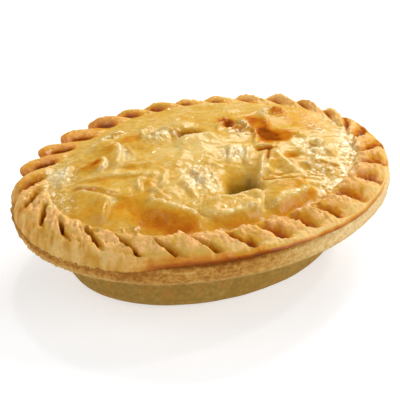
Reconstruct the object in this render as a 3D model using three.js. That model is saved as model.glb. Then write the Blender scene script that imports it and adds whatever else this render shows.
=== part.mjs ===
// An oval pepper steak pie: a short pastry case with a wide flange, under a glazed lid
// whose edge is crimped all round into slanting teeth.
// Millimetres, +Z up, +X along the pie. The origin is the middle of the foot that it stands on.
import * as THREE from 'three';

// Outline of the rim, seen from above
const pieLength = 140;
const pieWidth = 104.9;

// Pastry case
const footLength = 99;
const footWidth = 68;
const footRounding = 2.2;
const footFlatInset = 14;
const wallTopLength = 109;
const wallTopWidth = 76;
const wallTopHeight = 21.5;
const wallTopBend = 1.4;
const flangeUnderHeight = 24.6;
const flangeUnderInset = 8;
const flangeUnderDrop = 0.6;
const flangeBulge = 1.1;
const flangeRounding = 0.9;
const flangeEase = 0.3;
const seamHeight = 31.55;
const caseTopInset = 24;

// Pastry lid
const seamGap = 0.3;
const lidEdgeHeight = 32.3;
const lidEdgeRounding = 0.45;
const shoulderHeight = 34.1;
const shoulderInset = 2.7;
const rimWidth = 13.5;
const valleyHeight = 34.4;
const domeRise = 5.2;
const domePower = 3;
const crownFrom = 10.5;

// Crimped teeth: scooped on the right, notched at the front left, and a round rope along the far side
const toothCount = 30;
const firstGroove = 0.06;
const crestHeight = 37;
const crestInset = 10;
const pitHeight = 32.6;
const pitInset = 5.2;
const ropeHeight = 35.9;
const ropeInset = 8;
const ropeNotch = 2.4;
const ropeNotchFade = [2, 7];
const ropeFrom = 15;
const ropeTo = 182;
const ropeFade = 0.25;
const notchTurn = 222;
const notchFade = [0.45, 0.9];
const notchSlot = 0.16;
const notchFaceSlope = 0.45;
const scoopFaceRounding = 0.6;
const scoopCrestShare = 0.66;
const notchCrestShare = 0.84;
const ropeCrestShare = 0.46;
const slantMean = 46;
const slantSwing = 9;
const slantTurn = 37;
const slantInset = 3.8;
const toothHeightJitter = 0.4;
const toothEnds = [1, 4, 11, 13];
const toothPlaceJitter = 0.08;

// Steam vent
const vent = { at: [5, -17.2], reach: [6.9, 8], depth: 5.5 };

// Folds of the lid: start, pull and end of a curve, rise of its crest, and reach of its left and right flanks
const folds = [
  { path: [[-29.5, -18.5], [-20.2, -26.2], [-12.5, -35.5]], rise: 2.6, left: 2.4, right: 8 },
  { path: [[-14.5, -29.5], [-2.9, -36.7], [7.5, -33]], rise: 1.9, left: 9, right: 4.5 },
  { path: [[-21, -22], [-7.5, -26.5], [8.5, -26.8]], rise: 1.1, left: 2, right: 6 },
  { path: [[9, -26], [9.5, -31], [4, -36.5]], rise: 1.4, left: 2, right: 8 },
  { path: [[8, -31], [17.3, -31.5], [30, -27.2]], rise: 1.6, left: 7, right: 4 },
  { path: [[-52, -0.5], [-41.5, -4.5], [-38.8, -11.3]], rise: 1.5, left: 2, right: 10 },
  { path: [[-38.5, -10], [-39.8, -15], [-45.5, -20.5]], rise: 1.8, left: 2, right: 9 },
  { path: [[-51, 4], [-40.2, -1.4], [-34.5, -10]], rise: 1.4, left: 2.5, right: 2 },
  { path: [[-48, 6.5], [-29.5, -0.5], [-17, -5.5]], rise: 1.6, left: 10, right: 2 },
  { path: [[-29, 22.5], [-21.5, 14.5], [-31, 6.3]], rise: 1.6, left: 2, right: 7.5 },
  { path: [[-33.5, 12.5], [-33.2, 7], [-38.5, 3.5]], rise: 1.3, left: 2, right: 6 },
  { path: [[-7.5, 11.5], [-2, 13.4], [10, 10.6]], rise: 1.3, left: 2, right: 7 },
  { path: [[11, 14.5], [13.5, 6], [20, 0]], rise: 1.3, left: 2, right: 3 },
  { path: [[21.5, 18], [25, 10.5], [21, 3]], rise: 1.6, left: 2, right: 3.5 },
  { path: [[24, 15], [33, 13], [44, 5]], rise: 1.9, left: 7, right: 10 },
  { path: [[24.5, -5], [28.5, -10], [29, -19.5]], rise: 1.2, left: 2, right: 6 },
  { path: [[27, -18.5], [35, -21.5], [43, -22.5]], rise: 1.2, left: 3, right: 3 },
];

// Blisters and hollows of the lid: middle, reach along X and Y, and rise or, below zero, depth
const swells = [
  { at: [-31, 17.5], reach: [8.5, 8], rise: 1.3 },
  { at: [-50, 13], reach: [7, 8], rise: 0.8 },
  { at: [-11, 18.5], reach: [8, 8], rise: 2.5 },
  { at: [-0.5, 15.8], reach: [8, 5], rise: -2.6 },
  { at: [0, 4], reach: [18, 12], rise: 0.9 },
  { at: [15, 16], reach: [3.5, 5], rise: -2.2 },
  { at: [27.5, -0.5], reach: [8, 6], rise: -1.8 },
  { at: [36.2, 17.5], reach: [7, 7], rise: 1.9 },
  { at: [38.5, -7], reach: [8, 9], rise: 1.2 },
  { at: [-34.5, -16], reach: [7, 8], rise: -0.9 },
];

// Fineness of the facets
const stepsPerTooth = 8;
const rimSteps = [0.3, 0.9, 2, 3, 4.1, 5.2, 7, 9, 11, 12.4];
const crownStep = 2.3;
const crownLengthShare = 0.72;
const leastSegments = 8;
const underScale = 0.45;
const underSegments = [24, 80];
const caseSegments = 120;
const outlineSamples = 1440;
const foldSamples = 10;

const lidSegments = toothCount * stepsPerTooth;
const smooth = THREE.MathUtils.smoothstep;
const mix = THREE.MathUtils.lerp;
const degrees = THREE.MathUtils.degToRad;

// A repeatable draw from -1 to 1 for tooth number k.
function jitter(k, seed) {
  const value = Math.sin((k + 1) * 12.9898 + seed * 78.233) * 43758.5453;
  return 2 * (value - Math.floor(value)) - 1;
}

// Outline of the rim, measured along its length so that the teeth are evenly spaced.
const outline = new THREE.EllipseCurve(0, 0, pieLength / 2, pieWidth / 2);
outline.arcLengthDivisions = outlineSamples;
const outlineLength = outline.getLength();

// A point of the rim at a share of the way round, moved inwards square to the outline.
function rimPoint(share, inset) {
  const turn = ((share % 1) + 1) % 1;
  const point = outline.getPointAt(turn);
  const along = outline.getTangentAt(turn);
  return new THREE.Vector2(point.x - inset * along.y, point.y + inset * along.x);
}

// A level ring of an oval, counted anticlockwise.
function ovalRing(halfLength, halfWidth, height, count) {
  return Array.from({ length: count }, (_, i) => {
    const angle = (2 * Math.PI * i) / count;
    return new THREE.Vector3(halfLength * Math.cos(angle), halfWidth * Math.sin(angle), height);
  });
}

// A closed solid from rings that run from the middle of the underside, up the side and over the top to a middle.
// Neighbouring rings may have different numbers of points.
function ringSolid(bottom, rings, top) {
  const points = [bottom, ...rings.flat(), top];
  const starts = [];
  let next = 1;
  for (const ring of rings) {
    starts.push(next);
    next += ring.length;
  }
  const faces = [];
  const last = rings.length - 1;
  const lowCount = rings[0].length;
  for (let i = 0; i < lowCount; i++) faces.push(0, starts[0] + ((i + 1) % lowCount), starts[0] + i);
  for (let r = 0; r < last; r++) {
    const [n, m] = [rings[r].length, rings[r + 1].length];
    let [i, j] = [0, 0];
    while (i < n || j < m) {
      const outer = starts[r] + (i % n);
      const inner = starts[r + 1] + (j % m);
      if (j >= m || (i < n && (i + 1) * m <= (j + 1) * n)) {
        i += 1;
        faces.push(outer, starts[r] + (i % n), inner);
      } else {
        j += 1;
        faces.push(outer, starts[r + 1] + (j % m), inner);
      }
    }
  }
  const highCount = rings[last].length;
  for (let i = 0; i < highCount; i++) {
    faces.push(starts[last] + i, starts[last] + ((i + 1) % highCount), next);
  }
  const geometry = new THREE.BufferGeometry().setFromPoints(points).setIndex(faces);
  geometry.computeVertexNormals();
  return geometry;
}

// Each fold's curve as a run of points, worked out once.
const foldRuns = folds.map((fold) => {
  const [start, pull, end] = fold.path.map(([x, y]) => new THREE.Vector2(x, y));
  return new THREE.QuadraticBezierCurve(start, pull, end).getPoints(foldSamples);
});

// How far a fold lifts the lid at a point: highest on its curve, falling away on both flanks and at its ends.
function foldLift(fold, run, point) {
  let nearest = Infinity;
  let side = 1;
  let along = 0;
  for (let i = 0; i < foldSamples; i++) {
    const stretch = run[i + 1].clone().sub(run[i]);
    const reach = point.clone().sub(run[i]);
    const share = THREE.MathUtils.clamp(reach.dot(stretch) / stretch.lengthSq(), 0, 1);
    const off = reach.clone().addScaledVector(stretch, -share);
    if (off.length() < nearest) {
      nearest = off.length();
      side = stretch.cross(reach);
      along = (i + share) / foldSamples;
    }
  }
  const flank = nearest / (side > 0 ? fold.left : fold.right);
  const ends = smooth(along, 0, 0.25) * (1 - smooth(along, 0.8, 1)) + 0.25;
  return fold.rise * Math.min(1, ends) * (1 - smooth(flank, 0, 1));
}

// How far a blister or hollow lifts the lid at a point.
function swellLift(swell, point) {
  const away = Math.hypot((point.x - swell.at[0]) / swell.reach[0], (point.y - swell.at[1]) / swell.reach[1]);
  return swell.rise * (1 - smooth(away, 0, 1));
}

// Depth of the steam vent at a point.
function ventDepth(point) {
  const away = Math.hypot((point.x - vent.at[0]) / vent.reach[0], (point.y - vent.at[1]) / vent.reach[1]);
  return vent.depth * (1 - smooth(away, 0.3, 1));
}

// Relief of the lid at a point, without its dome.
function relief(point) {
  const lifted = folds.reduce((sum, fold, i) => sum + foldLift(fold, foldRuns[i], point), 0);
  const swollen = swells.reduce((sum, swell) => sum + swellLift(swell, point), 0);
  return lifted + swollen - ventDepth(point);
}

// Kind of tooth at a turn round the pie: shares from 0 to 1 of the far side's rope and the front left's notches.
function toothKind(turn) {
  const middle = degrees((ropeFrom + ropeTo) / 2);
  const end = Math.cos(degrees((ropeTo - ropeFrom) / 2));
  const rope = smooth(Math.cos(turn - middle), end - ropeFade, end + ropeFade);
  const notched = smooth(Math.cos(turn - degrees(notchTurn)), ...notchFade);
  return { rope, notched };
}

// Lift of a tooth across its width: up a face to the crest, then a steep fall to the next groove.
// The face slopes on a scooped tooth, is nearly flat behind a notch, and is round on the rope.
function toothLift(phase, { rope, notched }) {
  const crestShare = mix(mix(scoopCrestShare, notchCrestShare, notched), ropeCrestShare, rope);
  const up = Math.min(1, phase / crestShare);
  const down = Math.max(0, (phase - crestShare) / (1 - crestShare));
  const sloping = mix(up, smooth(up, 0, 1), scoopFaceRounding);
  const flat = mix(smooth(phase, 0, notchSlot), up, notchFaceSlope);
  const round = 1 - (1 - up) ** 2;
  return mix(mix(sloping, flat, notched), round, rope) * (1 - down ** 2);
}

// Share of the height of a rounded edge at a share of its width.
function roundOver(share) {
  return Math.sqrt(1 - (1 - Math.min(1, share)) ** 2);
}

// Height of the crests from the edge inwards: over the shoulder and up to the tips, or up the round of the rope.
function crestLine(inset, rope) {
  const shoulder = mix(lidEdgeHeight, shoulderHeight, roundOver(inset / shoulderInset));
  const tooth = mix(shoulder, crestHeight, smooth(inset, shoulderInset - 1, crestInset));
  const lobe = mix(lidEdgeHeight, ropeHeight, roundOver(inset / ropeInset));
  return mix(mix(tooth, lobe, rope), valleyHeight, smooth(inset, crestInset + 0.5, rimWidth));
}

// Height of the grooves: over the shoulder, down to the pit and up to the valley, or a steady rise by the rope.
function grooveLine(inset, rope) {
  const shoulder = mix(lidEdgeHeight, shoulderHeight, roundOver(inset / shoulderInset));
  const pit = mix(shoulder, pitHeight, smooth(inset, shoulderInset, pitInset));
  const tooth = mix(pit, valleyHeight, smooth(inset, pitInset, rimWidth));
  return mix(tooth, mix(lidEdgeHeight, valleyHeight, smooth(inset, 1, rimWidth)), rope);
}

// Point i of the rim's top at an inset from the edge. The rows of points follow the slant of the teeth.
function toothPoint(i, inset) {
  const tooth = Math.floor(i / stepsPerTooth);
  const phase = (i % stepsPerTooth) / stepsPerTooth;
  const jittered = mix(jitter(tooth, 1), jitter((tooth + 1) % toothCount, 1), phase);
  const even = (tooth + phase + firstGroove + toothPlaceJitter * jittered) / toothCount;
  const turn = 2 * Math.PI * even;
  const kind = toothKind(turn);
  const lift = toothLift(phase, kind);
  const slant = degrees(slantMean + slantSwing * Math.cos(2 * (turn - degrees(slantTurn))));
  const share = even - ((inset - slantInset) * Math.tan(slant)) / outlineLength;
  const notch = ropeNotch * kind.rope * (1 - lift) * (1 - smooth(inset, ...ropeNotchFade));
  const place = rimPoint(share, inset + notch);
  const [endLow, endHigh, tipHigh, tipLow] = toothEnds;
  const standing = smooth(inset, endLow, endHigh) * (1 - smooth(inset, tipHigh, tipLow));
  const taller = toothHeightJitter * jitter(tooth, 2) * standing;
  const top = mix(grooveLine(inset, kind.rope), crestLine(inset, kind.rope) + taller, lift);
  return new THREE.Vector3(place.x, place.y, top + relief(place) * smooth(inset, crownFrom, rimWidth));
}

// A ring of the crown: the rim's inner edge drawn in towards the middle and raised on the dome.
function crownRing(scale) {
  const count = Math.max(leastSegments, Math.round((outlineLength * crownLengthShare * scale) / crownStep));
  return Array.from({ length: count }, (_, k) => {
    const i = (k / count) * lidSegments;
    const low = toothPoint(Math.floor(i), rimWidth);
    const high = toothPoint((Math.floor(i) + 1) % lidSegments, rimWidth);
    const edge = low.lerp(high, i - Math.floor(i));
    const place = new THREE.Vector2(edge.x, edge.y).multiplyScalar(scale);
    return new THREE.Vector3(place.x, place.y, crownTop(place, scale));
  });
}

// Height of the crown: the dome with its folds, blisters and vent.
function crownTop(place, scale) {
  return valleyHeight + domeRise * (1 - scale ** domePower) + relief(place);
}

function makeLid() {
  const under = seamHeight + seamGap;
  const rimRing = (inset) => Array.from({ length: lidSegments }, (_, i) => toothPoint(i, inset));
  const level = (ring, height) => ring.map((point) => new THREE.Vector3(point.x, point.y, height));
  const inner = (pieLength - 2 * rimWidth) / 2;
  const innerSide = (pieWidth - 2 * rimWidth) / 2;
  const rings = [
    ovalRing(inner * underScale, innerSide * underScale, under, underSegments[0]),
    ovalRing(inner, innerSide, under, underSegments[1]),
    level(rimRing(lidEdgeRounding), under),
    level(rimRing(0), under + lidEdgeRounding),
    ...rimSteps.map(rimRing),
  ];
  const crownRings = Math.round(innerSide / crownStep);
  for (let r = 0; r < crownRings; r++) rings.push(crownRing(1 - r / crownRings));
  const middle = new THREE.Vector2();
  return ringSolid(
    new THREE.Vector3(0, 0, under),
    rings,
    new THREE.Vector3(0, 0, crownTop(middle, 0)),
  );
}

function makeCase() {
  const half = (length, width) => (inset, height) =>
    ovalRing(length / 2 - inset, width / 2 - inset, height, caseSegments);
  const foot = half(footLength, footWidth);
  const wall = half(wallTopLength, wallTopWidth);
  const rim = half(pieLength, pieWidth);
  const flangeMiddle = (flangeUnderHeight + seamHeight) / 2;
  const rings = [
    foot(footFlatInset, 0),
    foot(footRounding, 0),
    foot(footRounding * 0.3, footRounding * 0.3),
    foot(0, footRounding),
    wall(0, wallTopHeight),
    wall(-wallTopBend, wallTopHeight + wallTopBend),
    rim(flangeUnderInset, flangeUnderHeight - flangeUnderDrop),
    rim(flangeBulge, flangeUnderHeight),
    rim(flangeEase, flangeUnderHeight + flangeRounding),
    rim(0, flangeMiddle),
    rim(flangeEase, seamHeight - flangeRounding),
    rim(flangeBulge, seamHeight),
    rim(caseTopInset, seamHeight),
  ];
  return ringSolid(new THREE.Vector3(0, 0, 0), rings, new THREE.Vector3(0, 0, seamHeight));
}

function piece(name, geometry, colour, roughness) {
  const material = new THREE.MeshStandardMaterial({ color: colour, roughness, metalness: 0 });
  const mesh = new THREE.Mesh(geometry, material);
  mesh.name = name;
  return mesh;
}

const pie = new THREE.Group();
pie.name = 'pie';
pie.add(piece('pastry_case', makeCase(), 0xc9a35c, 0.75));
pie.add(piece('pastry_lid', makeLid(), 0xd9a441, 0.35));

export default pie;
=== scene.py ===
import math
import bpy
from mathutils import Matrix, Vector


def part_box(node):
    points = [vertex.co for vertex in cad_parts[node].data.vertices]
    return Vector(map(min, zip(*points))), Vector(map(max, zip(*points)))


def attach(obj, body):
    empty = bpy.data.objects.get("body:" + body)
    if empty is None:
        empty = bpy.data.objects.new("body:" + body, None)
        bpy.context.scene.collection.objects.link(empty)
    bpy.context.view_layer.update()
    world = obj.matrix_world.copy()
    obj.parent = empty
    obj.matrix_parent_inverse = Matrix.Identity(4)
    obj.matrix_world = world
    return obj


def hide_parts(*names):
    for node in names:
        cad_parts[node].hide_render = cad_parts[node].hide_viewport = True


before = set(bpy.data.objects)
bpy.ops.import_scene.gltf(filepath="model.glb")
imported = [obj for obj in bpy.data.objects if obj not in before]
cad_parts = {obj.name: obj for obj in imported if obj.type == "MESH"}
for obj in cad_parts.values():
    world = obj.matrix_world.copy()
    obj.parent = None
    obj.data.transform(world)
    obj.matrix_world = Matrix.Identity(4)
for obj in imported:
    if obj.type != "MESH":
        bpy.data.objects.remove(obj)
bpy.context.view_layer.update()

from types import SimpleNamespace

import bpy
import numpy as np

mm = 0.001
caseHigh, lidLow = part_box("pastry_case")[1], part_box("pastry_lid")[0]
halfLength, halfWidth = caseHigh[0] / mm, caseHigh[1] / mm
seam = (caseHigh[2] + lidLow[2]) / 2 / mm
print("frame loaded:", round(2 * halfLength, 1), "by", round(2 * halfWidth, 1), "mm")


# Small maths shared by both pieces

def mix(a, b, share):
    return a + (b - a) * share


def smooth(value, low, high, strength=1.0):  # eased step from 0 at low to a strength at high
    s = np.clip((value - low) / (high - low), 0.0, 1.0)
    return strength * s * s * (3 - 2 * s)


# Eased stretch of the edge round a middle turn in degrees: a step on the cosine of the angle away from it
def stretch(turn, middle, start, full, strength=1.0):
    return smooth(np.cos(turn - math.radians(middle)), start, full, strength)


def draw(i, j, seed):  # repeatable draw from 0 to 1 for each pair of whole numbers: late digits of a sine
    value = np.sin(i * 127.1 + j * 311.7 + seed * 74.7) * 43758.5453
    return value - np.floor(value)


# Gradient noise from about -1 to 1: random slopes at the corners of a square lattice, eased between them
def grain(x, y, size, seed):
    u, v = x / size + 0.37 * seed, y / size + 0.71 * seed
    i, j = np.floor(u), np.floor(v)
    f, g = u - i, v - j

    def corner(di, dj):
        turn = 2 * np.pi * draw(i + di, j + dj, seed)
        return np.cos(turn) * (f - di) + np.sin(turn) * (g - dj)

    a, b = smooth(f, 0, 1), smooth(g, 0, 1)
    low = mix(corner(0, 0), corner(1, 0), a)
    high = mix(corner(0, 1), corner(1, 1), a)
    return 1.6 * mix(low, high, b)


def grains(x, y, layers):  # noise added up from layers of amount, size in millimetres and seed
    return sum(amount * grain(x, y, size, seed) for amount, size, seed in layers)


# Oval outline: angle of the ellipse at each share of its length, from a fine running sum
ovalAngle = np.linspace(0, 2 * np.pi, 4097)
ovalStep = np.hypot(np.diff(halfLength * np.cos(ovalAngle)), np.diff(halfWidth * np.sin(ovalAngle)))
ovalRun = np.concatenate([[0], np.cumsum(ovalStep)])
ovalLength = ovalRun[-1]


# Point at a share of the way round the oval, moved inwards square to it by an inset
def ovalPoint(share, inset):
    t = np.interp((share % 1) * ovalLength, ovalRun, ovalAngle)
    normalX, normalY = halfWidth * np.cos(t), halfLength * np.sin(t)
    size = np.hypot(normalX, normalY)
    return halfLength * np.cos(t) - inset * normalX / size, halfWidth * np.sin(t) - inset * normalY / size


def addObject(name, data):
    thing = bpy.data.objects.new(name, data)
    bpy.context.scene.collection.objects.link(thing)
    return thing


# Mesh from points in millimetres and faces of four or three corners, with a value per point for each mask
def makePiece(name, points, quads, tris, masks):
    mesh = bpy.data.meshes.new(name)
    corners = np.concatenate([quads.ravel(), tris.ravel()]).astype(np.int32)
    sizes = np.concatenate([np.full(len(quads), 4), np.full(len(tris), 3)]).astype(np.int32)
    starts = np.concatenate([[0], np.cumsum(sizes)[:-1]]).astype(np.int32)
    mesh.vertices.add(len(points))
    mesh.loops.add(len(corners))
    mesh.polygons.add(len(sizes))
    mesh.vertices.foreach_set("co", (points * mm).astype(np.float32).ravel())
    mesh.loops.foreach_set("vertex_index", corners)
    mesh.polygons.foreach_set("loop_start", starts)
    mesh.polygons.foreach_set("use_smooth", np.ones(len(sizes), bool))
    mesh.update(calc_edges=True)
    mesh.validate()
    for mask, values in masks.items():
        mesh.attributes.new(mask, "FLOAT", "POINT").data.foreach_set("value", values.astype(np.float32))
    print(name, "has", len(points), "points and", 2 * len(quads) + len(tris), "triangles")
    return addObject(name, mesh)


# Faces between rings listed from the underside to the top: quads where two rings match, triangles where one
# has twice the points of the other, and fans at the two middles, which are the first and the last point
def ringFaces(counts):
    starts = 1 + np.concatenate([[0], np.cumsum(counts)])
    last = starts[-1]
    quads, tris = [], []
    first = np.arange(counts[0])
    tris.append(np.stack([np.zeros_like(first), 1 + (first + 1) % counts[0], 1 + first], 1))
    for r, (n, m) in enumerate(zip(counts[:-1], counts[1:])):
        a, b = starts[r], starts[r + 1]
        if n == m:
            k = np.arange(n)
            quads.append(np.stack([a + k, a + (k + 1) % n, b + (k + 1) % n, b + k], 1))
        elif n == 2 * m:
            k = np.arange(m)
            near, mid, far = a + 2 * k, a + 2 * k + 1, a + (2 * k + 2) % n
            here, there = b + k, b + (k + 1) % m
            tris += [np.stack(t, 1) for t in ((near, mid, here), (mid, there, here), (mid, far, there))]
        else:
            k = np.arange(n)
            near, far = a + k, a + (k + 1) % n
            here, mid, there = b + 2 * k, b + 2 * k + 1, b + (2 * k + 2) % m
            tris += [np.stack(t, 1) for t in ((near, mid, here), (near, far, mid), (far, there, mid))]
    end = np.arange(counts[-1])
    top = starts[-2]
    tris.append(np.stack([top + end, top + (end + 1) % counts[-1], np.full_like(end, last)], 1))
    return np.concatenate(quads), np.concatenate(tris)


# Lid: crimped rim and folded crown

# Pairs are where an effect starts and is full, by inset in mm unless noted, with a strength if not 1
lid = {
    # rings; those of the underside have a divisor of the points, an inset and a crown scale
    "columns": 960, "rimRows": 36, "crownRows": 106, "edgeRows": 4, "rowCrowding": 1.25,
    "fewest": 60, "thinAt": 0.62, "under": seam + 0.15, "edgeRound": 0.5,
    "underRings": ((4, 13.5, 0.25), (4, 13.5, 0.6), (2, 10.0, 1.0), (1, 2.5, 1.0)),
    # rim and dome
    "rimWidth": 13.5, "rimEnd": (13.4, 12.0), "crownStart": (10.5, 13.5), "domeRise": 5.2, "domePower": 3.0,
    "edgeIn": (1.5, 0.0, 0.6), "droop": 4.0, "sagDrop": 2.4, "dropWidth": 5.0,
    # teeth: place and slant, and where the crest lies across a scooped tooth, a notched one and the rope
    "teeth": 30, "firstGroove": 15.06, "placeJitter": 0.09, "heightJitter": (1.0, 4.0, 0.45),
    "slantMean": 46.0, "slantSwing": 9.0, "slantTurn": 37.0, "slantInset": 3.8,
    "ropeFrom": 15.0, "ropeTo": 172.0, "ropeSoft": 0.25, "ropeShift": 0.3, "crestShare": (0.66, 0.82, 0.62),
    # teeth: form of the face, and the power of the fall behind the crest for scoop and rope
    "scoopEase": 0.5, "notchStep": 0.65, "slotFoot": 0.12, "slotSide": 0.06, "slotWidth": (0.23, 0.11),
    "slotRun": (5.0, 11.0), "ropePower": 1.8, "fallPower": (2.6, 2.2),
    # teeth: bulge of the edge for scoop and rope, ragged ends, and stretches raised round a turn
    "bulge": (0.15, 4.2), "bulgeFrom": 0.9, "bulgeEnd": (7.0, 2.0), "drapeFlat": 0.6,
    "notchUneven": 0.4, "unevenStart": (1.5, 4.5), "raggedJitter": 0.9, "raggedStart": (6.0, 11.0),
    "raised": ((142, -1.2), (64, -1.1), (34, 1.3), (12, -1.0), (250, 1.3)), "raisedCosines": (0.9, 0.985),
    "raisedStart": (0.5, 4.0), "raisedEnd": (13.0, 8.0), "ropeShortEnd": (13.4, 10.5),
    "reachStart": (0.2, 1.4), "reachEnd": (9.0, 5.0),
    # surface of the rim and the puffed hem of the crown
    "ropeEven": 0.75, "drapeLumps": 0.7, "lumpStart": (0.3, 1.6), "hemStart": (9.0, 12.5),
    "hemScale": (0.86, 0.96), "hemTurns": (182, 12, -22), "hemCosines": (0.85, 0.97),
    # relief of the crown
    "curvePoints": 15, "foldGain": 1.15, "foldEnds": (0.3, 0.8), "creaseEnds": (0.2, 0.8),
    "foldBrownShadeReach": 0.7, "foldBrownShadeEnd": (1.5, 0.9), "shineReach": (1.6, 0.2), "shineRise": 1.8,
    "shinePale": 0.2, "shineSparkle": 0.5, "toastMost": 0.6, "patchGain": 1.5,
    "streak": 0.16, "streakWay": (0.92, 0.38), "streakSqueeze": 0.3, "wrinkle": 0.21, "wrinkleFine": 0.6,
    "blister": 0.58, "blisterPuffs": 0.9, "blisterFine": 0.8, "blisterSink": 0.5,
    # dryness, which starts at a rise of dryFrom on scoop and notch
    "dryPatchy": 0.7, "dryFrom": (0.45, 0.54), "dryStart": (2.5, 4.5), "mottleMean": 0.55,
    "bandLeast": 0.15, "bandMottle": 0.95, "bandEnd": (4.8, 3.2), "bandPit": 0.8,
    "jointEnd": (0.95, 0.2), "brownedEnd": (2.8, 1.1), "paleEnd": (4.8, 3.0),
    "lowRise": (0.4, 0.05), "lowStart": (1.2, 2.6), "ropeWet": 0.6, "jointWet": 0.8, "brownedWet": 0.85,
    "drapeWet": (6.0, 3.0, 0.65), "paleWet": 0.4, "peachyDry": 0.75, "endDry": 0.4,
    "endPatch": (49, 12, 11, 15),
    # browning and painted shade: teeth for scoop, notch and rope, pits for scoop and notch; the face's step,
    # ropeLow and pitRise by rise
    "toothBake": (0.42, 0.33, 0.375), "crownBake": 0.345, "faceBakeAndShade": (0.95, 0.3, 0.17),
    "faceStart": (2.8, 4.0), "faceEnd": (13.5, 11.0), "notchFace": 0.6, "ropeFace": 0.7,
    "pitBakeAndShade": (0.22, 0.47), "pitLow": (3.0, 4.6), "pitHigh": (4.2, 6.0), "pitRise": (0.5, 0.05),
    "pitEnd": (12.0, 7.5), "pitEdge": (1.0, 4.5), "ropePit": 0.5,
    # ropeLow, ropeFlank and ropeInner are painted shade on the lobes' low sides, falling flanks and inner
    # ends
    "ropeLow": (0.75, 0.2, 0.16), "ropeFlank": 0.18, "flankLead": 0.05, "ropeInner": (5.0, 9.0, 0.06),
    "jointBake": 0.3, "brownedBake": 0.3, "peachyPale": 0.06, "palePale": 0.26, "hemPale": 0.12,
    "drapeBake": (6.5, 4.0, 0.34), "drapeEven": 0.75, "slopeScale": (0.72, 0.95),
    # glaze, sparkle and painted shade in the hollows; toastMatt is by browning
    "rimGlaze": 0.7, "glazeStart": (9.0, 12.5), "dryMatt": 0.7, "toastMatt": (0.16, 0.42, 0.9),
    "hemSparkle": 0.6, "ventPaintedShade": (0.15, 0.9), "hollowPaintedShade": 0.8, "hollow": (-0.5, 16, 9, 5.5),
    "drapeDark": (4.0, 0.5, 0.26),
}

# Stretches of the rim: middle turn in degrees, cosines where it starts and is full, strength if not 1
lidZones = {
    "notched": (222, 0.45, 0.9), "drape": (196, 0.72, 0.97), "sag": (-30, 0.64, 0.95),
    "joint": (276, 0.45, 0.8), "browned": (252, 0.85, 0.97), "pale": (-58, 0.64, 0.9),
    "peachy": (35, 0.75, 0.95), "farNarrow": (62, 0.3, 0.95, 0.36), "farIn": (62, 0.5, 0.95, 1.6),
    "endIn": (14, 0.9, 0.99, 1.2), "ropeShort": (125, 0.4, 0.85, 0.25), "reachRight": (-18, 0.35, 0.9, 2.7),
    "reachFront": (252, 0.82, 0.97, 2.0), "faceRight": (-8, 0.7, 0.95, 0.7),
    "faceFront": (255, 0.85, 0.97, 0.4), "backLeft": (134, 0.8, 0.97, 0.13),
    # slope browns the crown's near slope, turned away from the light, as painted shade
    "slope": (-107.189, -0.2, 0.6, 0.08),
}

# Noise of the lid: layers of amount, size and seed
lidGrains = {
    "wander": [(0.1, 3.5, 16)], "unevenX": [(0.6, 3.5, 31), (0.3, 1.7, 33)],
    "unevenY": [(0.6, 3.5, 32), (0.3, 1.7, 34)], "ragged": [(0.8, 2.2, 13)],
    "patchy": [(0.4, 3.0, 17), (0.4, 7.0, 20)], "mottle": [(0.6, 1.8, 35), (0.5, 4.5, 36)],
    "crumbs": [(0.7, 1.3, 11), (0.42, 0.8, 12)], "hemPuffs": [(0.5, 2.0, 19)],
    "lumps": [(0.32, 4.5, 18), (0.256, 2.4, 14), (0.42, 1.0, 15)],
    "warpX": [(0.5, 6, 1)], "warpY": [(0.5, 6, 2)],
    "bendX": [(2.0, 7, 3)], "bendY": [(2.0, 7, 4)], "crumple": [(2.2, 6.5, 5)], "puffs": [(1.8, 3.0, 6)],
    "fine": [(1.5, 1.6, 7)], "streaks": [(2.0, 3.4, 10)], "swell": [(0.48, 14, 8), (0.288, 7, 9)],
}

# Heights of the rim from the edge inwards, along crests and grooves of scooped teeth, notches and rope
scoopCrest = [(0, 32.3), (0.6, 33.1), (1.5, 33.7), (2.8, 34.2), (3.8, 34.8), (5, 35.6), (7.5, 36.6),
              (10, 37.1), (11.2, 36.9), (12.3, 35.6), (13.5, 34.4)]
scoopGroove = [(0, 32.3), (0.6, 33.1), (1.5, 33.7), (2.6, 34.0), (3.3, 33.8), (4.2, 33.0), (5.2, 32.3),
               (7, 32.5), (9.5, 32.9), (11.5, 33.5), (13.5, 34.4)]
notchCrest = [(0, 32.3), (0.6, 33.1), (1.5, 34.0), (2.5, 35.0), (3.6, 35.7), (5, 36.5), (7.5, 37.2),
              (10, 37.4), (11.2, 36.9), (12.3, 35.5), (13.5, 34.4)]
notchGroove = [(0, 32.3), (0.6, 33.1), (1.5, 33.9), (2.5, 34.7), (3.5, 34.9), (4.3, 34.3), (5.2, 33.4),
               (6.2, 32.8), (8, 32.5), (9.6, 33.2), (11, 34.4), (12.3, 34.8), (13.5, 34.4)]
ropeCrest = [(0, 31.9), (0.5, 32.8), (1.4, 33.9), (3, 34.9), (5, 35.5), (7.5, 35.5), (9.5, 35.0),
             (11.5, 34.5), (13.5, 34.4)]
ropeGroove = [(0, 31.9), (0.8, 31.95), (2, 32.0), (4, 32.05), (7, 32.7), (9.5, 33.7), (11.5, 34.3),
              (13.5, 34.4)]
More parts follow.
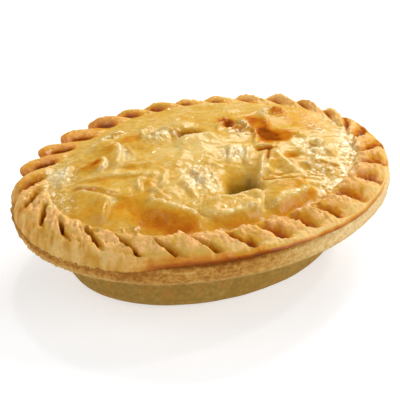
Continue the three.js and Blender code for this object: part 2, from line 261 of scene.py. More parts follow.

# Folds of the crown: start, pull and end of a curve, rise, left and right reach, darkening of the right
# flank, partly browning and partly painted shade
lidFolds = [
    ((-29, -15), (-22, -27), (-12.5, -34.5), 2.7, 1.5, 8.5, 0.28),  # long fold at the front
    ((-22, -14), (-26, -15), (-27.5, -20), 0.9, 2.6, 2.6, 0.0),
    ((-22, -21), (-19, -24), (-16, -29), 0.8, 1.0, 1.2, 0.0),
    ((-15, -29.5), (-5, -36), (7, -33.5), 2.3, 8.5, 4.5, 0.10),  # thick fold before the vent
    ((-12, -25), (0, -27), (10, -25.5), 1.4, 0.9, 6.0, 0.0),
    ((9.5, -25.5), (8.5, -32), (3.5, -37), 1.9, 1.1, 6.5, 0.0),
    ((7.5, -34.5), (16.5, -33.5), (29.5, -28), 2.0, 7.5, 4.0, 0.16),  # fold to the right of it
    ((11, -22), (19.5, -25), (29, -26), 1.1, 0.8, 5.5, 0.0),
    ((-47.5, 5.5), (-34, 1), (-18, -5.5), 0.8, 3.6, 2.2, 0.14),  # three steps at the left
    ((-51, 4), (-41, -3), (-35, -11), 0.8, 2.8, 2.0, 0.12),
    ((-51, -1), (-43.5, -4.5), (-38.5, -10.5), 1.2, 0.7, 8.0, 0.0),
    ((-38.5, -9), (-40.5, -14.5), (-45.5, -21), 1.9, 0.9, 7.0, 0.0),
    ((-28.5, 21.5), (-22, 14.5), (-34, 1.5), 2.0, 1.4, 6.0, 0.10),  # two flaps at the back left
    ((-38, 21), (-30.5, 28), (-25, 20), 1.2, 1.2, 6.0, 0.0),
    ((-33, 12.5), (-33, 9), (-38, 3.5), 1.7, 1.0, 6.0, 0.12),
    ((-45.5, 11), (-39, 13.5), (-32.5, 12), 1.0, 0.9, 6.0, 0.0),
    ((-23.5, -4.5), (-29.5, -5), (-28, -13), 1.2, 1.8, 1.6, 0.0),  # curled blister
    ((-17.5, -6), (-18, -10.5), (-22.5, -13.5), 1.2, 1.5, 2.0, 0.0),
    ((-27, -12), (-23.5, -14), (-22.5, -18), 0.9, 1.4, 1.6, 0.0),
    ((-9, -6), (-6.5, -11), (-5.5, -18.5), 1.2, 2.0, 2.2, 0.0),  # crumpled ridges left of the vent
    ((-13.5, -10.5), (-12, -15.5), (-12.5, -24), 0.9, 2.0, 2.2, 0.0),
    ((-3.5, -2.5), (1, -6), (2.5, -11.5), 0.4, 1.5, 1.8, 0.0),
    ((10, 2.5), (9, -3.5), (5, -9), 1.3, 1.3, 1.5, 0.0),  # flutes behind the vent
    ((16, -0.5), (14.5, -6), (11, -12), 1.3, 1.3, 1.5, 0.0),
    ((19.5, -6.5), (16.5, -14.5), (10.5, -23), 2.0, 1.6, 1.8, 0.0),
    ((24, -5.5), (25, -12.5), (25.5, -21.5), 1.5, 1.2, 4.5, 0.0),  # three-cornered facet
    ((25.5, -4.5), (19, -12), (14.5, -19.5), 1.2, 4.0, 0.9, 0.0),
    ((17.5, -2), (22.5, -2.5), (27, -6), 1.0, 1.1, 1.0, 0.2),
    ((17.5, 16), (23.5, 20), (22.5, 7), 1.3, 1.5, 1.6, 0.0),  # torn blister
    ((25, 14), (23.5, 5.5), (19, -1.5), 1.1, 1.3, 1.3, 0.1),
    ((10.5, 14), (14.5, 18), (18.5, 22.5), 1.1, 1.2, 1.0, 0.0),
    ((35.5, 27), (31, 16.5), (28.5, 7.5), 0.9, 1.3, 2.5, 0.0),
    ((-8.5, 11), (-2, 11), (10.5, 10.5), 1.8, 0.9, 8.0, 0.0),  # far edge of the middle
    ((-43.5, 17), (-48, 10.5), (-52.5, 3.5), 1.3, 1.8, 1.8, 0.0),
    ((29, -16), (34.5, -20.5), (43, -22.5), 1.1, 1.6, 2.2, 0.0),
    ((-32, 26.5), (-25.5, 29), (-19, 29.5), 1.1, 1.4, 2.6, 0.0),  # small ridges at the back
    ((-17, 18.5), (-15.5, 26.5), (-8.5, 25.5), 1.4, 1.4, 2.4, 0.0),
    ((-9.5, 25), (-3.5, 21), (-5.5, 11), 1.4, 1.4, 2.4, 0.0),
    ((-32, 5.8), (-25, 4.6), (-17.5, 2.4), 0.7, 1.0, 3.0, 0.1),
]

# Creases of the crown: start, pull and end of a curve, depth, half-width and darkening along the line
lidCreases = [
    ((-49.5, 0.8), (-41, -4), (-35, -11), 0.35, 0.9, 0.2),
    ((-38.3, -10.5), (-42.3, -16), (-44.8, -21), 0.7, 0.6, 0.25),
    ((10.5, -19.5), (18.5, -23), (30, -24), 0.9, 0.8, 0.25),
    ((18, -3.5), (21.5, -5), (26.5, -4), 1.3, 0.9, 0.55),
    ((23.3, -4.5), (21.5, -8), (18.5, -11.5), 1.0, 0.8, 0.45),
    ((15, -18), (20.5, -21), (28, -20.5), 0.6, 0.8, 0.1),
    ((32.5, -14), (38, -17), (44, -20), 0.9, 0.8, 0.2),
    ((-26, -16), (-24.8, -20.5), (-19, -26), 1.0, 1.0, 0.25),
]

# Blisters and hollows of the crown: middle, reach along X and Y, rise
lidSwells = [
    (-31, 17.5, 8, 7.5, 1.6), (-40, 8.5, 6.5, 5.5, 0.6), (-24, -9, 4, 4.5, 0.7), (-11, 18.5, 7.5, 7.5, 2.2),
    (-10.5, 20.5, 2.6, 3, -1.5), (-0.5, 15.5, 8, 5, -2.2), (0.5, 23, 5.5, 4, 0.9), (-2, 4, 18, 11, 0.9),
    (28, 3.5, 10, 8, -1.0), (16.5, 18.5, 2.6, 4.5, -2.4), (18.5, 12, 3, 3.5, -1.4), (38, 20, 6.5, 8, 2.2),
    (22, -13, 5, 6, 0.6), (37.5, 0, 3.6, 3.2, 1.3), (43, -5.5, 3.6, 3.2, 1.3), (34, -9.5, 3.2, 3, 1.2),
    (38.5, -10, 3.2, 3, 1.2), (44, -11.5, 3.6, 3.2, 1.2), (38, -16, 3.2, 2.8, 1.1),
    (32, -18.5, 3.2, 2.8, 1.0), (38, -23, 3.4, 2.8, 1.0), (29, -10.5, 3.6, 2.8, -1.3),
    (39, -6.5, 2.6, 2.2, -1.0), (35, -14, 2.6, 2.2, -1.0), (-34.5, -18, 7, 8, -0.8), (48, 3, 5, 5, 0.8),
    (-50, 12, 6, 8, 0.8),
]

# Steam vent: middle, front, length, half-width, depth and lean, then the shares of its length or half-width
# where floor, lip and sides start and are full
lidVent = {
    "middle": 4.2, "front": -25.6, "length": 17.5, "half": 8.5, "depth": 6.5, "lean": 4.0,
    "floor": (1.0, 0.1), "lip": (-0.06, 0.05), "sides": (1.0, 0.35),
}

# Sparkling blistered zones: middle and reach
lidSparkle = [
    (-25, 28.5, 8, 4), (-39, -27.5, 8, 3.5), (-7, -12.5, 9, 12), (10, -3.5, 9, 7), (18.5, 11.5, 7, 9),
    (39, -8, 10, 12), (37, 21, 8, 7), (-48.5, 10.5, 6, 9), (-11, 18.5, 7, 7), (47, 7, 6, 10),
    (36, -21, 9, 6), (-25, 14, 4, 8),
]

# Zones with less glaze: middle, reach, share of the glaze that is gone
lidMatt = [
    (46, 14, 16, 18, 0.6), (-34, -19, 12, 12, 0.85), (19, -28, 13, 8, 0.5), (5, -18.5, 9, 10, 0.95),
    (37.5, 19, 6, 6, 0.5), (28.5, 6, 10, 10, 0.95),
]

# Browned and pale patches: middle, reach, browning; some pale ones are painted highlights and some browned
# ones painted shade, noted below
lidPatches = [
    (26, 4.5, 7, 8, 0.5), (31.5, 2.5, 8.5, 7, 0.42), (26.5, 13, 7, 10, 0.36), (26.5, 20, 5, 7, 0.16),
    (16.5, 18.5, 4.6, 6.5, 0.5), (19, 12.5, 4.5, 5, 0.25), (-2, 5, 19, 11, -0.16),
    (-34.5, -17, 10, 10, 0.17), (-31.5, 18, 7.5, 6.5, 0.1), (-40, 8.5, 6, 5, 0.12),
    (-37, 9.5, 2.6, 2.2, 0.2), (-50, 12, 6, 9, -0.42),
    # the pale spot at (-4, -21) on the vent's left wall is a painted highlight; the browning of the vent at
    # (5, -18.5) is partly painted shade, and that of the back hollow at (-0.5, 15.5) is painted shade
    (37.5, 19, 4.5, 5, 0.38), (5, -18.5, 7.5, 8, 0.12), (-4, -21, 3.2, 2.6, -0.45), (-0.5, 15.5, 8, 5, 0.42),
    (-43, -12, 9, 10, 0.03), (45, 12, 12, 14, 0.14), (-7, -12.5, 9, 11, -0.22), (10, -3.5, 9, 6.5, -0.24),
    (39, -8, 10, 11, -0.16), (22, -13, 6, 7, 0.10), (-24, -9, 4, 4, 0.12), (-11, 18.5, 7, 7, -0.3),
    (29, -10.5, 4, 3, 0.25), (39, -6.5, 3, 2.4, 0.2), (-40, -3, 7, 4, 0.08), (19, -28, 10, 6, 0.1),
    # the pale strips at (-38.5, -11), (-25.2, 8.1), (-25.5, 13) and (-33.5, 9) are painted highlights on the
    # flaps' right edges
    (-38.5, -11, 2.4, 3.4, -0.3), (-20.5, 22, 7, 5, 0.2), (-11.4, 19.9, 3.4, 3.2, 0.42),
    (-25.2, 8.1, 3, 2.2, -0.25), (-25.5, 13, 2.2, 5, -0.3), (-33.5, 9, 1.8, 3.5, -0.25),
]


def lidGrain(x, y, name):
    return grains(x, y, lidGrains[name])


def lidStep(value, name):
    return smooth(value, *lid[name])


def lidZone(turn, name):
    return stretch(turn, *lidZones[name])


def byKind(kinds, notched, rope):  # value between those of scooped teeth, notched teeth and the rope
    scoop, notch, lobe = kinds
    return mix(mix(scoop, notch, notched), lobe, rope)


def toothDraw(tooth, seed):  # draw from -1 to 1 for each tooth
    return 2 * draw(tooth, 0, seed) - 1


# Smooth curve through knots: cubic pieces whose slope at a knot is the mean of those on its two sides
def knotCurve(value, knots):
    x, y = np.array(knots, float).T
    slope = np.diff(y) / np.diff(x)
    tangent = np.concatenate([slope[:1], (slope[:-1] + slope[1:]) / 2, slope[-1:]])
    value = np.clip(value, x[0], x[-1])
    k = np.clip(np.searchsorted(x, value, side="right") - 1, 0, len(x) - 2)
    step = x[k + 1] - x[k]
    s = (value - x[k]) / step
    near = y[k] * (1 + 2 * s) + step * tangent[k] * s
    far = y[k + 1] * (3 - 2 * s) - step * tangent[k + 1] * (1 - s)
    return near * (1 - s) ** 2 + far * s ** 2


# Sideways distance from a curve, positive on its left, and share along it, by its nearest short piece
def nearCurve(x, y, start, pull, end):
    s = np.linspace(0, 1, lid["curvePoints"])[:, None]
    run = (1 - s) ** 2 * np.array(start) + 2 * s * (1 - s) * np.array(pull) + s ** 2 * np.array(end)
    base, step = run[:-1], np.diff(run, axis=0)
    offX, offY = x[:, None] - base[:, 0], y[:, None] - base[:, 1]
    share = np.clip((offX * step[:, 0] + offY * step[:, 1]) / (step ** 2).sum(1), 0, 1)
    gap = np.hypot(offX - share * step[:, 0], offY - share * step[:, 1])
    near = gap.argmin(1)
    pick = np.arange(len(x)), near
    side = np.where(step[near, 0] * offY[pick] > step[near, 1] * offX[pick], 1.0, -1.0)
    return gap[pick] * side, (near + share[pick]) / len(step)


def bump(x, y, patch):  # eased bump of height 1 on an oval patch
    return smooth(np.hypot((x - patch[0]) / patch[2], (y - patch[1]) / patch[3]), 1, 0)


def flatBump(x, y, patch):  # the same with a flat middle
    return np.minimum(1, lid["patchGain"] * bump(x, y, patch))


def runOut(along, ends):  # 1 along a curve, eased to 0 at its two ends
    return smooth(along, 0, ends[0]) * smooth(along, 1, ends[1])


# Hollow of the vent: it deepens from the back to a steep front lip and runs out at its sides
def ventDepth(x, y):
    back = (y - lidVent["front"]) / lidVent["length"]
    aside = np.abs(x - lidVent["middle"] - lidVent["lean"] * back) / lidVent["half"]
    depth = lidVent["depth"] * smooth(back, *lidVent["floor"]) * smooth(back, *lidVent["lip"])
    return depth * smooth(aside, *lidVent["sides"])


# Lift, darkening and shine of folds and creases: a fold falls off over its reach on both sides of its curve,
# is darker on its right flank, partly browning and partly painted shade, and shines along its crest, where
# it is painted paler as a highlight; a crease is a narrow groove, darker along its line
def foldRelief(x, y):
    lift, toastAndPaintedLight, shine = np.zeros_like(x), np.zeros_like(x), np.zeros_like(x)
    for start, pull, end, rise, left, right, darkening in lidFolds:
        off, along = nearCurve(x, y, start, pull, end)
        ends = runOut(along, lid["foldEnds"])
        flank = np.where(off > 0, off / left, -off / right)
        lift += lid["foldGain"] * rise * ends * smooth(flank, 1, 0)
        browned = smooth(off, 0.0, -lid["foldBrownShadeReach"] * right) * lidStep(flank, "foldBrownShadeEnd")
        toastAndPaintedLight += darkening * ends * browned
        bright = lidStep(np.abs(off), "shineReach") * min(1.0, rise / lid["shineRise"])
        shine = np.maximum(shine, ends * bright)
    for start, pull, end, depth, width, darkening in lidCreases:
        off, along = nearCurve(x, y, start, pull, end)
        line = smooth(np.abs(off) / width, 1, 0) * runOut(along, lid["creaseEnds"])
        lift -= depth * line
        toastAndPaintedLight += darkening * line
    return lift, toastAndPaintedLight, shine


# Relief, browning and sparkle of the crown: folds, creases, blisters, vent, streaks and wrinkles added up
def crownRelief(x, y):
    x, y = x + lidGrain(x, y, "warpX"), y + lidGrain(x, y, "warpY")
    lift, toastAndPaintedLight, shine = foldRelief(x, y)
    for swell in lidSwells:
        lift += swell[4] * bump(x, y, swell)
    lift -= ventDepth(x, y)
    sparkle = np.clip(sum(bump(x, y, zone) for zone in lidSparkle), 0, 1)
    bendX, bendY = lidGrain(x, y, "bendX"), lidGrain(x, y, "bendY")
    crumple = 1 - np.abs(lidGrain(x + bendX, y + bendY, "crumple"))
    puffs = np.abs(lidGrain(x + bendX, y + bendY, "puffs"))
    fine = np.abs(lidGrain(x - bendY, y + bendX, "fine"))
    wayX, wayY = lid["streakWay"]
    along, across = lid["streakSqueeze"] * (wayX * x - wayY * y), wayY * x + wayX * y
    streaks = 1 - np.abs(lidGrain(along + bendX, across + bendY, "streaks"))
    lift += lid["streak"] * streaks * (1 - sparkle) + lidGrain(x, y, "swell")
    lift += lid["wrinkle"] * (crumple + lid["wrinkleFine"] * fine)
    blisters = lid["blisterPuffs"] * puffs + lid["blisterFine"] * fine - lid["blisterSink"]
    lift += lid["blister"] * sparkle * blisters
    toastAndPaintedLight += sum(patch[4] * flatBump(x, y, patch) for patch in lidPatches) - lid["shinePale"] * shine
    return lift, np.minimum(toastAndPaintedLight, lid["toastMost"]), np.clip(sparkle + lid["shineSparkle"] * shine, 0, 1)


# Lift of a tooth across its width: a scooped one rises along a sloping face and falls steeply, a notched one
# steps up from a slot to a nearly flat face, and a lobe of the rope is round
def toothLift(phase, inset, crestShare, notched, rope):
    up = np.clip(phase / crestShare, 0, 1)
    down = np.clip((phase - crestShare) / (1 - crestShare), 0, 1)
    slot = mix(*lid["slotWidth"], lidStep(inset, "slotRun"))
    scoop = mix(up, smooth(up, 0, 1), lid["scoopEase"])
    notch = mix(up, smooth(phase, lid["slotFoot"], slot + lid["slotSide"]), lid["notchStep"])
    lobe = 1 - (1 - up) ** lid["ropePower"]
    return byKind((scoop, notch, lobe), notched, rope) * (1 - down ** mix(*lid["fallPower"], rope))


# Place of each point: its share round the rim picks a tooth and a phase across it; inwards the tooth slants
# round the oval. The far side is narrower and further in, lobes bulge outwards and edges waver.
def lidPlace(share, inset, scale):
    teeth = lid["teeth"]
    count = share * teeth
    tooth = np.floor(count)
    phase = count - tooth
    shift = lid["placeJitter"] * mix(toothDraw(tooth, 1), toothDraw((tooth + 1) % teeth, 1), phase)
    place = (count + shift + lid["firstGroove"]) / teeth
    turn = 2 * np.pi * place
    ropeMiddle = (lid["ropeTo"] + lid["ropeFrom"]) / 2
    ropeEnd = math.cos(math.radians((lid["ropeTo"] - lid["ropeFrom"]) / 2))
    rope = stretch(turn, ropeMiddle, ropeEnd - lid["ropeSoft"], ropeEnd + lid["ropeSoft"])
    notched, drape, sag = lidZone(turn, "notched"), lidZone(turn, "drape"), lidZone(turn, "sag")

    deep = inset * (1 - lidZone(turn, "farNarrow"))
    slantSwing = lid["slantSwing"] * np.cos(2 * (turn - math.radians(lid["slantTurn"])))
    slant = np.radians(lid["slantMean"] + slantSwing)
    place = place - (deep - lid["slantInset"]) * np.tan(slant) / ovalLength - lid["ropeShift"] * rope / teeth
    deep = deep + lidZone(turn, "farIn") + lidZone(turn, "endIn")
    crestShare = byKind(lid["crestShare"], notched, rope)
    x, y = ovalPoint(place, deep)
    phase = phase + (1 - rope) * lidGrain(x, y, "wander") * 4 * phase * (1 - phase)
    rise = toothLift(phase, inset, crestShare, notched, rope)

    bulge = mix(*lid["bulge"], rope) * (rise - lid["bulgeFrom"])
    bulge = bulge * lidStep(inset, "bulgeEnd") * (1 - lid["drapeFlat"] * drape)
    edgeIn = (drape + sag) * lidStep(inset, "edgeIn")
    x, y = ovalPoint(place, deep - bulge + edgeIn)
    rim = lidStep(inset, "rimEnd")
    uneven = (1 - rope) * (1 + lid["notchUneven"] * notched) * rim * lidStep(inset, "unevenStart")
    shiftX, shiftY = lidGrain(x, y, "unevenX"), lidGrain(x, y, "unevenY")
    reach = lidZone(turn, "reachRight") + lidZone(turn, "reachFront")
    reach = inset + reach * lidStep(inset, "reachStart") * lidStep(inset, "reachEnd")
    return SimpleNamespace(
        inset=inset, scale=scale, turn=turn, tooth=tooth, phase=phase, rise=rise, crestShare=crestShare,
        reach=reach, rope=rope, notched=notched, drape=drape, sag=sag, rim=rim,
        crown=lidStep(inset, "crownStart"),
        x=(x + uneven * shiftX) * scale, y=(y + uneven * shiftY) * scale)


# Marks that colour and surface share: noise, the seam's line, browned and pale parts of the edge's band,
# low ends of the scoops and the hem of the crown
def addMarks(at):
    at.patchy = np.clip(0.5 + lidGrain(at.x, at.y, "patchy"), 0, 1)
    at.mottle = np.clip(lid["mottleMean"] + lidGrain(at.x, at.y, "mottle"), 0, 1)
    at.joint = lidZone(at.turn, "joint") * lidStep(at.inset, "jointEnd")
    at.browned = lidZone(at.turn, "browned") * lidStep(at.inset, "brownedEnd")
    at.pale = lidZone(at.turn, "pale") * lidStep(at.inset, "paleEnd")
    at.low = lidStep(at.rise, "lowRise") * lidStep(at.inset, "lowStart")
    at.peachy = lidZone(at.turn, "peachy")
    hem = lidStep(at.inset, "hemStart") * lidStep(at.scale, "hemScale")
    at.hem = hem * sum(stretch(at.turn, middle, *lid["hemCosines"]) for middle in lid["hemTurns"])


# Dryness: the larger of dry crests and a mottled band along the edge, less on the rope, the seam's line, the
# browned part and the drape, then the peachy lobes, painted paler towards their tops partly as painted
# sheen, and the crown's right end where these are drier
def drynessOf(at):
    dryFrom = mix(*lid["dryFrom"], at.notched)
    crests = smooth(at.rise + lid["dryPatchy"] * (at.patchy - 0.5), dryFrom, 1.0)
    crests = crests * lidStep(at.inset, "dryStart") * at.rim
    band = (lid["bandLeast"] + lid["bandMottle"] * at.mottle) * (1 - lid["bandPit"] * at.pale * at.low)
    band = band * lidStep(mix(at.reach, at.inset, at.pale), "bandEnd")
    dry = np.maximum(crests, band) * (1 - lid["ropeWet"] * at.rope) * (1 - lid["jointWet"] * at.joint)
    dry = dry * (1 - lid["brownedWet"] * at.browned) * (1 - lid["paleWet"] * at.pale)
    dry = dry * (1 - at.drape * lidStep(at.inset, "drapeWet"))
    # Lobes at the back right, paler towards their tops: partly drier crust, partly painted sheen
    lobes = lid["peachyDry"] * at.rope * at.rim * at.peachy * at.rise
    rightEnd = lid["endDry"] * at.crown * bump(at.x, at.y, lid["endPatch"])
    return np.maximum(dry, np.maximum(lobes, rightEnd) * (0.5 + at.patchy))


# Height of the teeth: from the groove's line to the crest's as the tooth lifts. Crests vary by tooth, end
# raggedly at the crown and are raised or lowered in a few stretches.
def teethHeight(at):
    inset, reach, notched, rope = at.inset, at.reach, at.notched, at.rope
    ragged = lid["raggedJitter"] * toothDraw(at.tooth, 3) + lidGrain(at.x, at.y, "ragged")
    inner = inset + at.rim * (1 - rope) * ragged * lidStep(inset, "raggedStart")
    along = inset * (1 - lidZone(at.turn, "ropeShort") * lidStep(inset, "ropeShortEnd"))
    crests = knotCurve(inner, scoopCrest), knotCurve(inner, notchCrest), knotCurve(along, ropeCrest)
    grooves = knotCurve(reach, scoopGroove), knotCurve(reach, notchGroove), knotCurve(along, ropeGroove)
    crest, groove = byKind(crests, notched, rope), byKind(grooves, notched, rope)
    raised = sum(stretch(at.turn, middle, *lid["raisedCosines"], rise) for middle, rise in lid["raised"])
    crest = crest + raised * lidStep(inset, "raisedStart") * lidStep(inset, "raisedEnd")
    jitter = toothDraw(at.tooth, 2) * lidStep(inset, "heightJitter")
    return mix(groove, crest + jitter * at.rim, at.rise)


# Surface of the rim: crumbs on the dry crests, lumps that are stronger on the drape, and puffs along the hem
def rimSurface(at):
    crumbs = at.dry * at.rise * lidGrain(at.x, at.y, "crumbs")
    lumps = (1 - lid["ropeEven"] * at.rope) * (1 + lid["drapeLumps"] * at.drape)
    lumps = lumps * (1 - at.crown) * lidGrain(at.x, at.y, "lumps") * lidStep(at.inset, "lumpStart")
    return crumbs + lumps + at.hem * np.abs(lidGrain(at.x, at.y, "hemPuffs"))


# Browning of the rim with painted shade: a base for each kind of tooth, more on low faces and in pits,
# partly as painted shade, painted shade on the rope's low sides, falling flanks and inner ends, more at the
# seam, less on the pale band, mottled on the drape
def rimBrowningAndShade(at):
    turn, inset, rope, notched = at.turn, at.inset, at.rope, at.notched
    base = byKind(lid["toothBake"], notched, rope)
    face = lidStep(at.rise, "faceBakeAndShade") * lidStep(at.reach, "faceStart")
    face = face * lidStep(inset, "faceEnd") * (1 - lid["notchFace"] * notched)
    stronger = lidZone(turn, "faceRight") + lidZone(turn, "faceFront")
    face = face * (1 + stronger) * (1 - lid["ropeFace"] * rope)
    pitLow, pitHigh = mix(*lid["pitLow"], notched), mix(*lid["pitHigh"], notched)
    pit = lidStep(at.rise, "pitRise") * smooth(at.reach, pitLow, pitHigh)
    pit = pit * lidStep(inset, "pitEnd") * lidStep(inset, "pitEdge") * (1 - lid["ropePit"] * rope)
    pit = pit * mix(*lid["pitBakeAndShade"], notched)
    # Painted shade on the rope's lobes: darker low down, on the flank past the crest and towards the inner
    # end
    lobe = lidStep(at.rise, "ropeLow") + lidStep(inset, "ropeInner") * at.rim
    lobe = lobe + lid["ropeFlank"] * smooth(at.phase, at.crestShare - lid["flankLead"], 1.0)
    lobe = lobe + lidZone(turn, "backLeft") - lid["peachyPale"] * at.peachy
    seamLine = lid["jointBake"] * at.joint + lid["brownedBake"] * at.browned
    pale = lid["palePale"] * at.pale * (1 - at.joint) * (1 - at.low)
    drape = at.drape * (lid["drapeEven"] - at.mottle) * lidStep(inset, "drapeBake")
    return base + face + pit + rope * lobe + seamLine - pale + drape


# Glaze: thinner on the rim, gone where the pastry is dry or well browned and in the matt zones
def glazeOf(at, toastAndPaintedLight):
    glaze = mix(lid["rimGlaze"], 1.0, lidStep(at.inset, "glazeStart")) * (1 - lid["dryMatt"] * at.dry)
    glaze = glaze * (1 - lidStep(at.crown * toastAndPaintedLight, "toastMatt"))
    for zone in lidMatt:
        glaze = glaze * (1 - zone[4] * flatBump(at.x, at.y, zone))
    return glaze


# Top of the lid for a share round the rim, an inset and a crown scale from 1 at the rim to 0 in the middle:
# height of the teeth, surface, dome and the crown's relief added up, less the droop of the edge
def lidTop(share, inset, scale):
    at = lidPlace(share, inset, scale)
    x, y, crown = at.x, at.y, at.crown
    addMarks(at)
    at.dry = drynessOf(at)
    relief, toastAndPaintedLight, sparkle = crownRelief(x, y)
    dome = lid["domeRise"] * (1 - scale ** lid["domePower"])
    drop = lid["droop"] * at.drape + lid["sagDrop"] * at.sag
    drop = drop * np.clip(1 - inset / lid["dropWidth"], 0, 1) ** 2
    z = teethHeight(at) + rimSurface(at) + dome + crown * relief - drop

    # Painted shade: the crown's near slope is browned more as it turns away from the light
    slope = lidStep(scale, "slopeScale") * lidZone(at.turn, "slope")
    bake = mix(rimBrowningAndShade(at), lid["crownBake"] + toastAndPaintedLight + slope, crown)
    # Painted shade: the vent and the hollow at the back are darkened in colour where shade falls in them;
    # the drape is darker towards its edge
    hollow = lidStep(ventDepth(x, y) / lidVent["depth"], "ventPaintedShade")
    hollow = np.clip(hollow + lid["hollowPaintedShade"] * bump(x, y, lid["hollow"]), 0, 1)
    masks = {
        "bake": bake - lid["hemPale"] * at.hem, "dry": at.dry, "glaze": glazeOf(at, toastAndPaintedLight),
        "sparkle": np.maximum(sparkle * crown * (1 - hollow), lid["hemSparkle"] * at.hem),
        "deep": crown * hollow + at.drape * lidStep(inset, "drapeDark"),
    }
    return np.stack([x, y, z], 1), masks, drop


# Rings of the lid from its underside's middle, out to the rounded edge, over the teeth and into the crown.
# Each has its points, inset, crown scale and height, which is left open where the top gives it.
def makeLid():
    full, width, under, curve = lid["columns"], lid["rimWidth"], lid["under"], lid["edgeRound"]
    rows = [(full // part, inset, scale, under) for part, inset, scale in lid["underRings"]]
    for angle in np.linspace(0, np.pi / 2, lid["edgeRows"]):
        rows.append((full, curve * (1 - np.sin(angle)), 1.0, under + curve * (1 - np.cos(angle))))
    for inset in width * np.linspace(0, 1, lid["rimRows"]) ** lid["rowCrowding"]:
        rows.append((full, inset, 1.0, np.nan))
    count = full
    for scale in np.linspace(1, 0, lid["crownRows"] + 1)[1:-1]:
        if count > lid["fewest"] and scale < lid["thinAt"] * count / full:
            count //= 2
        rows.append((count, width, scale, np.nan))
    counts = [row[0] for row in rows]
    share = np.concatenate([[0], *[np.arange(n) / n for n in counts], [0]])
    inset, scale, level = (np.repeat([row[k] for row in rows], counts) for k in (1, 2, 3))
    inset, scale = np.concatenate([[width], inset, [width]]), np.concatenate([[0], scale, [0]])
    points, masks, drop = lidTop(share, inset, scale)
    level = np.concatenate([[under], level, [np.nan]])
    below = np.isfinite(level)
    points[below, 2] = level[below] - drop[below]
    quads, tris = ringFaces(counts)
    return makePiece("lid_pastry", points, quads, tris, masks)


# Case: foot, wall and flange

# Pairs are heights where an effect starts and is full, from foot, flange or top, with a strength if not 1
case = {
    "columns": 640, "rowStep": 0.55, "leastRows": 3, "leastGap": 0.4, "top": seam - 0.15,
    "foot": (51.2, 35.2), "wall": (54.5, 38.0), "wallTop": 21.5, "flangeUnder": 24.6,
    "flangeRise": (-0.2, 0.8), "wallStart": (0.5, 4.0), "wallEnd": (22.0, 19.0), "footEnd": (0.0, 2.0),
    "topEnd": 0.5, "farRise": (-3.5, -0.3), "tuck": (20.0, 24.0, 1.6), "tuckUnder": 5.5, "drapeIn": 3.0,
    "drapeFrom": 27.5, "sagFrom": 28.6, "drop": (12.0, 23.0, 1.2), "dropEnd": (29.0, 25.0),
    "lipHeight": 0.3, "lipWidth": (0.9, 0.3), "lipOut": (-3.0, -1.0), "drapeShade": (24.5, 28.0, 0.34),
    "seamRise": (-1.4, -0.3),
}

# Stretches of the case, given like those of the rim; front paints shade on the flange's front and right
# paints light on its right side
caseZones = {
    "nearLeft": (205, 0.3, 0.9), "drape": (203, 0.72, 0.97), "far": (90, -0.1, 0.25, 4.2),
    "sag": (-34, 0.64, 0.95, 1.9), "front": (262, 0.6, 0.98, 0.2), "right": (-38, 0.5, 0.95, -0.6),
    "seam": (280, 0.35, 0.65, 0.22),
}

# Noise of the case: stretch of the height that it is read with, and layers of amount, size and seed
caseGrains = {
    "wave": (0.3, [(0.3, 16, 21)]), "streak": (9, [(0.18, 9, 22)]), "streakFine": (16, [(0.126, 5, 23)]),
    "dimple": (1, [(0.3, 7, 24), (0.12, 2.2, 25)]), "crumb": (1, [(0.42, 1.6, 26), (0.294, 0.9, 27)]),
}


# Outline of the case: each knot is the oval of foot, wall or rim, moved outwards, at a height
def caseProfile():
    top, under = case["top"], case["flangeUnder"]
    foot, wall, rim = case["foot"], case["wall"], (halfLength, halfWidth)
    knots = [
        (foot, -14, 0), (foot, -4.4, 0), (foot, -2.2, 0.5), (foot, -0.9, 1.5), (foot, 0.2, 3.4),
        (wall, -2, 11), (wall, 0, case["wallTop"]), (wall, 1.6, 23.0), (rim, -9, under - 0.9),
        (rim, -1.6, under - 0.5), (rim, -0.5, under), (rim, -0.35, under + 0.7), (rim, -0.7, under + 1.4),
        (rim, -0.2, under + 3.4), (rim, 0, top - 1.6), (rim, -0.35, top - 0.6), (rim, -1.3, top)]
    outline = np.array([(oval[0] + out, oval[1] + out, height) for oval, out, height in knots])
    gaps = np.linalg.norm(np.diff(outline, axis=0), axis=1)
    run = np.concatenate([[0], np.cumsum(np.maximum(gaps, case["leastGap"]))])
    fine = []
    for start, end, gap in zip(run[:-1], run[1:], gaps):
        steps = max(case["leastRows"], int(gap / case["rowStep"]))
        fine.append(np.linspace(start, end, steps, endpoint=False))
    fine = np.concatenate([*fine, run[-1:]])
    return np.stack([np.interp(fine, run, outline[:, k]) for k in range(3)], 1)


